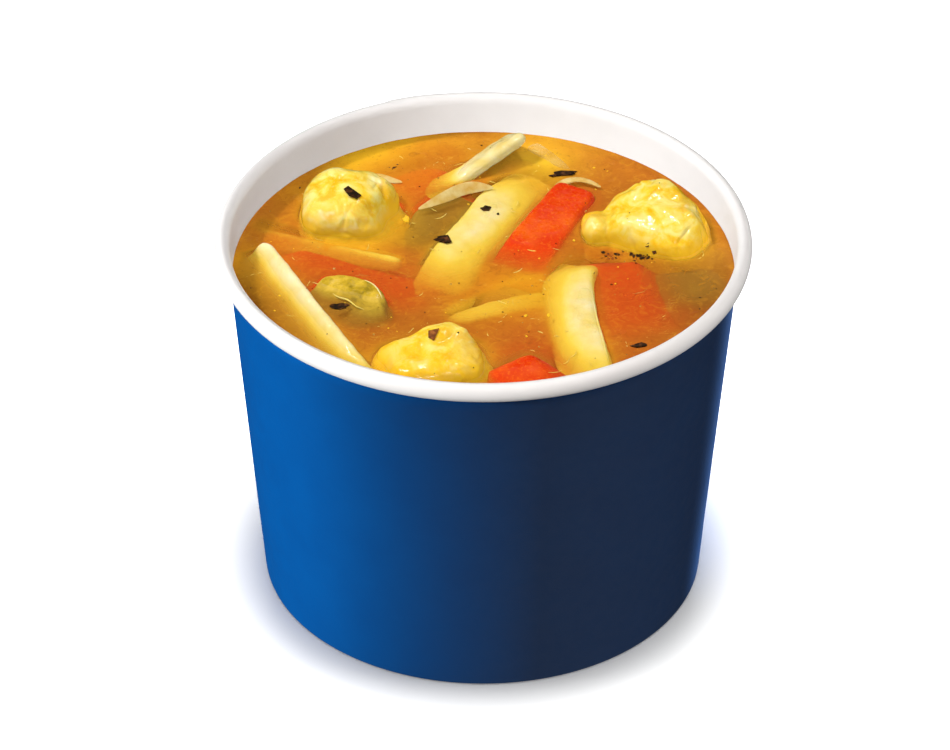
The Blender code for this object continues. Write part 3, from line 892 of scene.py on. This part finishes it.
def make_broth(kinds):
    """The broth: a closed body whose top carries the tint and the cover."""
    height, tint, cover = broth_fields(kinds)
    x, y = disc_points(DISC_STEPS)
    x, y = x * SOUP_REACH, y * SOUP_REACH
    z = LEVEL + sampled(height, x, y)
    row = DISC_STEPS + 1
    verts = list(zip(x, y, z))
    faces = [(i * row + j, (i + 1) * row + j, (i + 1) * row + j + 1, i * row + j + 1)
             for i in range(DISC_STEPS) for j in range(DISC_STEPS)]
    border = ([i * row for i in range(DISC_STEPS)]
              + [DISC_STEPS * row + j for j in range(DISC_STEPS)]
              + [i * row + DISC_STEPS for i in range(DISC_STEPS, 0, -1)]
              + [j for j in range(DISC_STEPS, 0, -1)])
    floor_scale = (wall_outside(BROTH_FLOOR) - 0.6 * PAPER) / SOUP_REACH
    start = len(verts)
    verts += [(verts[i][0] * floor_scale, verts[i][1] * floor_scale, BROTH_FLOOR) for i in border]
    count = len(border)
    faces += [(border[k], start + k, start + (k + 1) % count, border[(k + 1) % count]) for k in range(count)]
    verts.append((0.0, 0.0, BROTH_FLOOR))
    faces += [(start + k, len(verts) - 1, start + (k + 1) % count) for k in range(count)]
    mesh = mesh_from("broth_body", verts, faces)
    shape = bmesh.new()
    shape.from_mesh(mesh)
    bmesh.ops.recalc_face_normals(shape, faces=shape.faces)
    shape.to_mesh(mesh)
    shape.free()
    total = len(verts)
    tints = np.ones((total, 4))
    tints[:, :3] = (0.60, 0.22, 0.025)
    tints[:start, :3] = sampled(tint, x, y)
    covers = np.ones(total)
    covers[:start] = sampled(cover, x, y)
    mesh.attributes.new("tint", "FLOAT_COLOR", "POINT").data.foreach_set("color", tints.ravel())
    mesh.attributes.new("cover", "FLOAT", "POINT").data.foreach_set("value", covers)
    broth = add_piece("broth_body", mesh, broth_material(), "broth", ["broth"])
    broth.visible_shadow = False
    broth.visible_diffuse = False

    steps, inset = 40, PAPER + 0.20 * MM
    x, y = disc_points(steps)
    bed, shore = LEVEL - MURK_DEPTH, LEVEL - 0.3 * MM
    reach = wall_outside(bed) - inset
    high = [(a * reach, b * reach, bed + 0.3 * MM * noise.noise(Vector((a * 4, b * 4, 0)))) for a, b in zip(x, y)]
    reach = wall_outside(bed) - 0.6 * PAPER
    low = [(a * reach, b * reach, bed - 0.8 * MM) for a, b in zip(x, y)]
    row = steps + 1
    faces = []
    for i in range(steps):
        for j in range(steps):
            quad = (i * row + j, (i + 1) * row + j, (i + 1) * row + j + 1, i * row + j + 1)
            faces += [quad, tuple(len(high) + k for k in reversed(quad))]
    border = ([i * row for i in range(steps)] + [steps * row + j for j in range(steps)]
              + [i * row + steps for i in range(steps, 0, -1)] + [j for j in range(steps, 0, -1)])
    rise = (wall_outside(shore) - inset) / (wall_outside(bed) - inset)
    rim = [(high[k][0] * rise, high[k][1] * rise, shore) for k in border]
    start = len(high) + len(low)
    for k, here in enumerate(border):
        after = (k + 1) % len(border)
        faces.append((here, start + k, start + after, border[after]))
        faces.append((start + k, len(high) + here, len(high) + border[after], start + after))
    murk = mesh_from("broth_murk", high + low + rim, faces)
    add_piece("broth_murk", murk, murk_material(), "broth").visible_diffuse = False
    return broth


# ---------------------------------------------------------------- herbs and other small things

class Ground:
    """Finds the topmost surface of the soup at a place."""

    def __init__(self, pieces):
        self.trees = []
        for piece in pieces:
            verts = [v.co.copy() for v in piece.data.vertices]
            self.trees.append(BVHTree.FromPolygons(verts, [list(f.vertices) for f in piece.data.polygons]))

    def at(self, x, y):
        """The highest point and its normal, straight above (x, y) in mm."""
        best = (Vector((x * MM, y * MM, LEVEL)), Vector((0, 0, 1)))
        for tree in self.trees:
            place, normal = tree.ray_cast(Vector((x * MM, y * MM, RIM_TOP + 20 * MM)), Vector((0, 0, -1)))[:2]
            if place is not None and place.z > best[0].z:
                best = (place, normal)
        return best


def add_flake(shape, place, normal, size, turn, corners, thickness, seed):
    """Add one leaf flake: a torn, slightly curled plate that lies on a surface; size is (length, width)."""
    local = random.Random(seed)
    facing = normal.to_track_quat("Z", "Y").to_matrix().to_4x4() @ Matrix.Rotation(math.radians(turn), 4, "Z")
    matrix = Matrix.Translation(place) @ facing
    curl, fold = local.uniform(-0.10, 0.22), local.uniform(0.05, 0.25)
    ring = []
    for k in range(corners):
        angle = math.tau * (k + local.uniform(-0.38, 0.38)) / corners
        reach = local.choice((0.62, 0.8, 1.0, 1.0))
        x, y = reach * size[0] / 2 * math.cos(angle), reach * size[1] / 2 * math.sin(angle)
        ring.append((x, y, curl * x * x / size[0] + fold * abs(y)))
    middle = (0.0, 0.0, 0.0)
    top = [shape.verts.new(matrix @ Vector((x, y, z + thickness))) for x, y, z in ring]
    low = [shape.verts.new(matrix @ Vector((x, y, z))) for x, y, z in ring]
    peak = shape.verts.new(matrix @ Vector((middle[0], middle[1], middle[2] + thickness * 1.2)))
    base = shape.verts.new(matrix @ Vector(middle))
    for k in range(corners):
        after = (k + 1) % corners
        shape.faces.new((peak, top[k], top[after]))
        shape.faces.new((base, low[after], low[k]))
        shape.faces.new((top[k], low[k], low[after], top[after]))


def make_slivers():
    """Thin pale films: celery's cut edge, onion by the back noodle and by the chicken, the carrot's skin."""
    lines = (
        (2.4, 0.2, ((-12.1, 18.8, -0.5, 25, 0.2), (-9.7, 20.2, -0.9, 30, 0.6), (-6.9, 22.2, -1.1, 35, 0.9),
                    (-4.2, 24.4, -1.1, 35, 1.0), (-1.4, 25.7, -0.9, 35, 0.9), (1.8, 26.2, -0.4, 30, 0.25))),
        (3.0, 0.3, ((8.8, 41.2, -0.1, 5, 1.0), (11.8, 37.8, 0.0, 5, 0.9), (14.5, 34.0, 0.1, 5, 0.8),
                    (16.8, 31.0, 0.4, 5, 0.4))),
        (1.5, 0.3, ((-21.7, 31.2, 0.2, 10, 0.6), (-19.5, 29.8, -0.3, 25, 1.0), (-17.2, 28.6, -0.4, 30, 0.8),
                    (-15.2, 28.1, -0.3, 20, 0.3))),
        (1.5, 0.3, ((11.8, 20.4, -0.7, 0, 0.3), (12.9, 24.4, -0.8, 0, 0.7), (14.7, 27.2, -0.9, 0, 1.0),
                    (17.2, 28.2, -1.0, 0, 1.0), (19.6, 27.6, -0.9, 0, 0.8), (21.8, 26.4, -0.5, 0, 0.4))),
    )
    films = film_material("pale_film", 0.62), film_material("clear_film", 0.24)
    for index, (width, thickness, stations) in enumerate(lines):
        mesh = strip_mesh("sliver", width * MM, thickness * MM, stations, 0.3)
        mesh.shade_smooth()
        add_piece("sliver_%d" % (index + 1), mesh, films[1 if index == 1 else 0], "noodle")


def add_thread(shape, path, radius):
    """Add a thin round thread through a list of places, pointed at its ends."""
    rings = []
    for index, place in enumerate(path):
        ahead = path[min(index + 1, len(path) - 1)] - path[max(index - 1, 0)]
        turn = ahead.to_track_quat("Z", "Y").to_matrix()
        share = math.sin(math.pi * (index + 0.6) / (len(path) + 0.2))
        rings.append([shape.verts.new(place + turn @ Vector((math.cos(a), math.sin(a), 0)) * radius * share)
                      for a in (0.0, math.tau / 5, 2 * math.tau / 5, 3 * math.tau / 5, 4 * math.tau / 5)])
    for low, high in zip(rings, rings[1:]):
        for k in range(5):
            shape.faces.new((low[k], low[(k + 1) % 5], high[(k + 1) % 5], high[k]))
    shape.faces.new(reversed(rings[0]))
    shape.faces.new(rings[-1])


def make_bits(ground):
    """Shreds of noodle, crumbs of chicken and small bubbles at the broth's surface."""
    threads = bmesh.new()
    lines = [((19.6, -5.2), (20.3, -14.5), (21.6, -23.4), (22.5, -29.7)),
             ((-27.4, -8.2), (-26.4, -9.4), (-24.6, -10.4), (-23.0, -12.4), (-21.6, -13.4)),
             ((-21.8, -4.8), (-19.7, -6.8), (-18.3, -10.3))]
    for index, line in enumerate(lines):
        path = [ground.at(x, y)[0] for x, y in smooth_path(line, 8)]
        add_thread(threads, path, (0.24 if index == 0 else 0.19) * MM)
    for _ in range(110):
        angle, reach = rng.uniform(0, math.tau), 42.5 * math.sqrt(rng.random())
        x, y, bearing = reach * math.cos(angle), reach * math.sin(angle), rng.uniform(0, math.tau)
        length, bend = rng.uniform(0.8, 3.4), rng.uniform(-0.9, 0.9)
        path = []
        for step in range(7):
            share = step / 6 - 0.5
            turn = bearing + bend * share
            path.append(Vector((x + length * share * math.cos(turn), y + length * share * math.sin(turn), 0)) * MM)
            path[-1].z = LEVEL - rng.uniform(0.0, 0.12) * MM
        if ground.at(x, y)[0].z < LEVEL + 0.3 * MM and math.hypot(x, y) < 42.5:
            add_thread(threads, path, rng.uniform(0.05, 0.11) * MM)
    mesh = bpy.data.meshes.new("shreds")
    threads.to_mesh(mesh)
    threads.free()
    mesh.shade_smooth()
    add_piece("shreds", mesh, LOOKS["noodle"], "noodle")

    crumbs, bubbles = bmesh.new(), bmesh.new()
    for index in range(46):
        angle, reach = rng.uniform(0, math.tau), 42.5 * math.sqrt(rng.random())
        x, y = (-14.3, 16.0) if index == 0 else (reach * math.cos(angle), reach * math.sin(angle))
        size = 0.9 if index == 0 else rng.choice((0.12, 0.15, 0.2, 0.25, 0.4))
        place = ground.at(x, y)[0]
        if place.z > LEVEL + 0.4 * MM:
            continue
        matrix = (Matrix.Translation(place) @ Euler((0.3, 0.2, rng.uniform(0, 6))).to_matrix().to_4x4()
                  @ Matrix.Diagonal((size * MM, size * 0.7 * MM, size * 0.45 * MM, 1.0)))
        made = bmesh.ops.create_icosphere(crumbs, subdivisions=3, radius=1.0, matrix=matrix)
        for vert in made["verts"]:
            vert.co += (vert.co - place) * 0.5 * noise.noise(vert.co / (0.5 * MM))
    for _ in range(70):
        angle, reach = rng.uniform(0, math.tau), 44.5 * math.sqrt(rng.random())
        place = ground.at(reach * math.cos(angle), reach * math.sin(angle))[0]
        size = rng.choice((0.10, 0.12, 0.15, 0.2, 0.28)) * MM
        matrix = Matrix.Translation(place) @ Matrix.Diagonal((size, size, size * 0.6, 1.0))
        if place.z < LEVEL + 0.3 * MM:
            bmesh.ops.create_icosphere(bubbles, subdivisions=2, radius=1.0, matrix=matrix)
    for name, shape, material, slot in (("crumbs", crumbs, LOOKS["chicken"], "chicken"),
                                        ("bubbles", bubbles, bubble_material(), "broth")):
        mesh = bpy.data.meshes.new(name)
        shape.to_mesh(mesh)
        shape.free()
        mesh.shade_smooth()
        add_piece(name, mesh, material, slot)


def make_herbs(ground):
    """Leaf flakes where they lie, crumbled leaf by the chicken, and specks scattered over the soup."""
    dark, red = bmesh.new(), bmesh.new()
    flakes = (   # x, y, length, width, turn in mm and degrees, corners
        (-24.0, 15.2, 5.0, 3.0, 80, 5), (-7.2, 9.2, 4.8, 2.8, 84, 5), (0.4, 19.0, 2.1, 2.2, 20, 7),
        (14.8, 31.4, 5.6, 1.9, 14, 13), (-26.0, -12.6, 3.8, 2.0, 4, 11), (27.9, -24.6, 3.2, 1.5, 0, 9),
        (2.6, 17.4, 0.8, 0.5, 0, 5), (-8.6, -27.0, 3.2, 2.8, -35, 4),
    )
    for index, (x, y, length, width, turn, corners) in enumerate(flakes):
        place, normal = ground.at(x, y)
        add_flake(red if corners == 4 else dark, place - normal * 0.04 * MM, normal, (length * MM, width * MM),
                  turn, corners, 0.16 * MM, 50 + index)
    spots = [(43.5 * math.sqrt(rng.random()), rng.uniform(0, math.tau)) for _ in range(60)]
    spots = [(reach * math.cos(a), reach * math.sin(a), rng.choice((0.2, 0.25, 0.3, 0.35, 0.5)), 0.03)
             for reach, a in spots]
    for x, y, wide, count in ((23.2, 4.6, 1.6, 26), (29.4, 4.2, 2.4, 44), (-16.4, 33.0, 1.6, 12)):
        spots += [(rng.gauss(x, wide * 0.6), rng.gauss(y, 0.75), rng.choice((0.3, 0.45, 0.6, 0.9, 1.2)),
                   rng.uniform(-0.05, 0.40)) for _ in range(count)]
    for index, (x, y, size, sunk) in enumerate(spots):
        place, normal = ground.at(x, y)
        add_flake(dark, place - normal * sunk * MM, normal, (size * MM, size * 0.7 * MM), rng.uniform(0, 360),
                  6, 0.10 * MM, 300 + index)
    blacks = ((0.014, 0.007, 0.003), (0.045, 0.018, 0.006), (0.17, 0.055, 0.016))
    browns = ((0.16, 0.048, 0.012), (0.30, 0.090, 0.018), (0.42, 0.150, 0.030))
    for name, shape, colours in (("herb_flakes", dark, blacks), ("herb_brown", red, browns)):
        mesh = bpy.data.meshes.new(name)
        shape.to_mesh(mesh)
        shape.free()
        add_piece(name, mesh, herb_material(name, *colours), "herb")


# ---------------------------------------------------------------- studio

def aimed(name, data, place, target):
    """An object that looks at a target."""
    item = bpy.data.objects.new(name, data)
    bpy.context.scene.collection.objects.link(item)
    item.location = place
    item.rotation_euler = (Vector(target) - Vector(place)).to_track_quat("-Z", "Y").to_euler()
    return item


def area_light(name, place, target, size, power, colour=(1.0, 1.0, 1.0)):
    """A soft rectangular light."""
    data = bpy.data.lights.new(name, "AREA")
    data.shape = "RECTANGLE"
    data.size, data.size_y = size
    data.energy = power
    data.color = colour
    return aimed(name, data, place, target)


def spot_light(name, bearing, distance, height, aside, power):
    """A tall narrow spot on the cup's body from a bearing, its beam moved aside from the axis."""
    data = bpy.data.lights.new(name, "SPOT")
    data.energy = power
    data.spot_size = math.radians(6.4)
    data.spot_blend = 0.45
    data.shadow_soft_size = 0.02
    towards = Vector((math.sin(bearing), -math.cos(bearing), 0.0))
    across = Vector((-math.cos(bearing), -math.sin(bearing), 0.0)) * aside
    middle = Vector((0, 0, RIM_TOP / 2))
    item = aimed(name, data, middle + towards * distance + across + Vector((0, 0, height)), middle + across)
    item.scale = (1.0, 2.2, 1.0)
    item.visible_glossy = False
    return item


def link_light(light, receivers, state):
    """Let a light reach only some objects, or all but them."""
    group = bpy.data.collections.new(light.name + "_reach")
    for index, receiver in enumerate(receivers):
        group.objects.link(receiver)
        group.collection_objects[index].light_linking.link_state = state
    light.light_linking.receiver_collection = group


def surround():
    """A dim room, with some light from below and in front as from a pale table."""
    world = bpy.data.worlds.new("studio")
    world.use_nodes = True
    tree = world.node_tree
    background = tree.nodes["Background"]
    background.inputs["Color"].default_value = (1.0, 1.0, 1.0, 1.0)
    place = tree.nodes.new("ShaderNodeTexCoord")
    split = tree.nodes.new("ShaderNodeSeparateXYZ")
    tree.links.new(place.outputs["Generated"], split.inputs[0])
    strength = None
    for axis, start, end, low, high in (("X", -0.6, 0.2, 0.25, 1.0), ("Y", 0.6, -0.4, 0.20, 1.0),
                                        ("Z", 0.15, -0.25, 0.02, 0.21)):
        span = tree.nodes.new("ShaderNodeMapRange")
        for label, number in (("From Min", start), ("From Max", end), ("To Min", low), ("To Max", high)):
            span.inputs[label].default_value = number
        tree.links.new(split.outputs[axis], span.inputs["Value"])
        product = tree.nodes.new("ShaderNodeMath")
        product.operation = "MULTIPLY"
        product.inputs[1].default_value = 1.0
        tree.links.new(span.outputs["Result"], product.inputs[0])
        if strength:
            tree.links.new(strength, product.inputs[1])
        strength = product.outputs[0]
    tree.links.new(strength, background.inputs["Strength"])
    return world


def make_studio():
    """White floor, soft lights and a dim surround."""
    size = 3.0
    mesh = mesh_from("floor", [(-size, -size, 0), (size, -size, 0), (size, size, 0), (-size, size, 0)],
                     [(0, 1, 2, 3)], smooth=False)
    s = Surface("studio_floor", Roughness=0.9, Specular_IOR_Level=0.0)
    s.shader.inputs["Base Color"].default_value = (0.80, 0.80, 0.80, 1.0)
    s.shader.inputs["Emission Color"].default_value = (1.0, 1.0, 1.0, 1.0)
    s.shader.inputs["Emission Strength"].default_value = 0.20
    mesh.materials.append(s.material)
    floor = bpy.data.objects.new("floor", mesh)
    bpy.context.scene.collection.objects.link(floor)
    floor.visible_diffuse = False
    floor.visible_glossy = False
    floor.visible_shadow = False

    sheet, skin = bpy.data.objects["cup_sheet"], bpy.data.objects["cup_print"]
    sheet.visible_glossy = False
    key = area_light("key", (-0.45, 0.10, 0.65), (0, 0, 0.06), (0.22, 0.22), 2.0, (1.0, 0.985, 0.96))
    top = area_light("top", (0.05, -0.05, 0.85), (0, 0, 0.06), (0.50, 0.50), 1.8)
    front = area_light("front_fill", (0.10, -0.75, 0.55), (0, 0, 0.06), (0.40, 0.40), 2.8)
    spark = area_light("spark", (0.10, 0.34, 0.80), (0, 0, 0.06), (0.055, 0.055), 1.2)
    left_spark = area_light("left_spark", (-0.45, 0.10, 0.65), (0, 0, 0.06), (0.045, 0.045), 2.2)
    front_spark = area_light("front_spark", (0.12, -0.55, 0.65), (0, 0, 0.06), (0.05, 0.05), 0.5)
    for light in (key, top, front):
        light.visible_glossy = False
    for light in (top, spark):
        link_light(light, (floor,), "EXCLUDE")
    for light in (key, front, left_spark, front_spark):
        link_light(light, (floor, sheet, skin), "EXCLUDE")

    wall_key = area_light("wall_key", (-0.75, -0.40, 0.35), (0, 0, 0.06), (0.30, 0.30), 7.0, (1.0, 0.985, 0.98))
    wall_key.data.use_shadow = False
    wall_fill = area_light("wall_fill", (0.25, -0.45, 0.55), (0, 0, 0.06), (0.30, 0.30), 2.0, (1.0, 0.90, 0.85))
    lip_front = area_light("lip_front", (0.10, -0.80, 0.05), (0, 0, 0.06), (0.50, 0.10), 0.25)
    lip_left = area_light("lip_left", (-0.80, -0.05, 0.05), (0, 0, 0.07), (0.30, 0.10), 2.2)
    lip_right = area_light("lip_right", (0.80, -0.20, 0.05), (0, 0, 0.07), (0.30, 0.10), 1.5)
    for light in (wall_key, wall_fill, lip_front, lip_left, lip_right):
        light.visible_glossy = False
        link_light(light, (sheet,), "INCLUDE")

    side = spot_light("side_spot", math.radians(-72), 0.80, 0.22, -0.6 * MM, 28.0)
    edge = area_light("edge", (0.28, 0.575, 0.10), (0, 0, 0.04), (0.10, 0.30), 14.0)
    for light in (side, edge):
        link_light(light, (skin,), "INCLUDE")

    wash = area_light("floor_wash", (0.0, 0.0, 0.90), (0, 0, 0), (0.34, 0.34), 26.0)
    link_light(wash, (floor,), "INCLUDE")

    bpy.context.scene.world = surround()
    bpy.context.scene.view_settings.view_transform = "Standard"


def make_camera():
    """A long lens that looks down on the front of the cup."""
    elevation, distance = math.radians(35.55), 1.1647
    data = bpy.data.cameras.new("camera")
    data.lens, data.sensor_width = 237.3, 36.0
    place = Vector((0.0, -math.cos(elevation) * distance, math.sin(elevation) * distance + 30 * MM))
    camera = aimed("camera", data, place, (-1.5 * MM, 5.1 * MM, 37.2 * MM))
    camera.rotation_euler.rotate_axis("Z", math.radians(0.17))
    bpy.context.scene.camera = camera


make_camera()
make_cup()
make_studio()
KINDS = make_floating_pieces()
BROTH = make_broth(KINDS)
for PIECE in [piece for pieces in KINDS.values() for piece in pieces]:
    PIECE.visible_diffuse = False                # what it would throw on the wall is in the wall's own light
GROUND = Ground([piece for pieces in KINDS.values() for piece in pieces] + [BROTH])
make_slivers()
make_bits(GROUND)
make_herbs(GROUND)
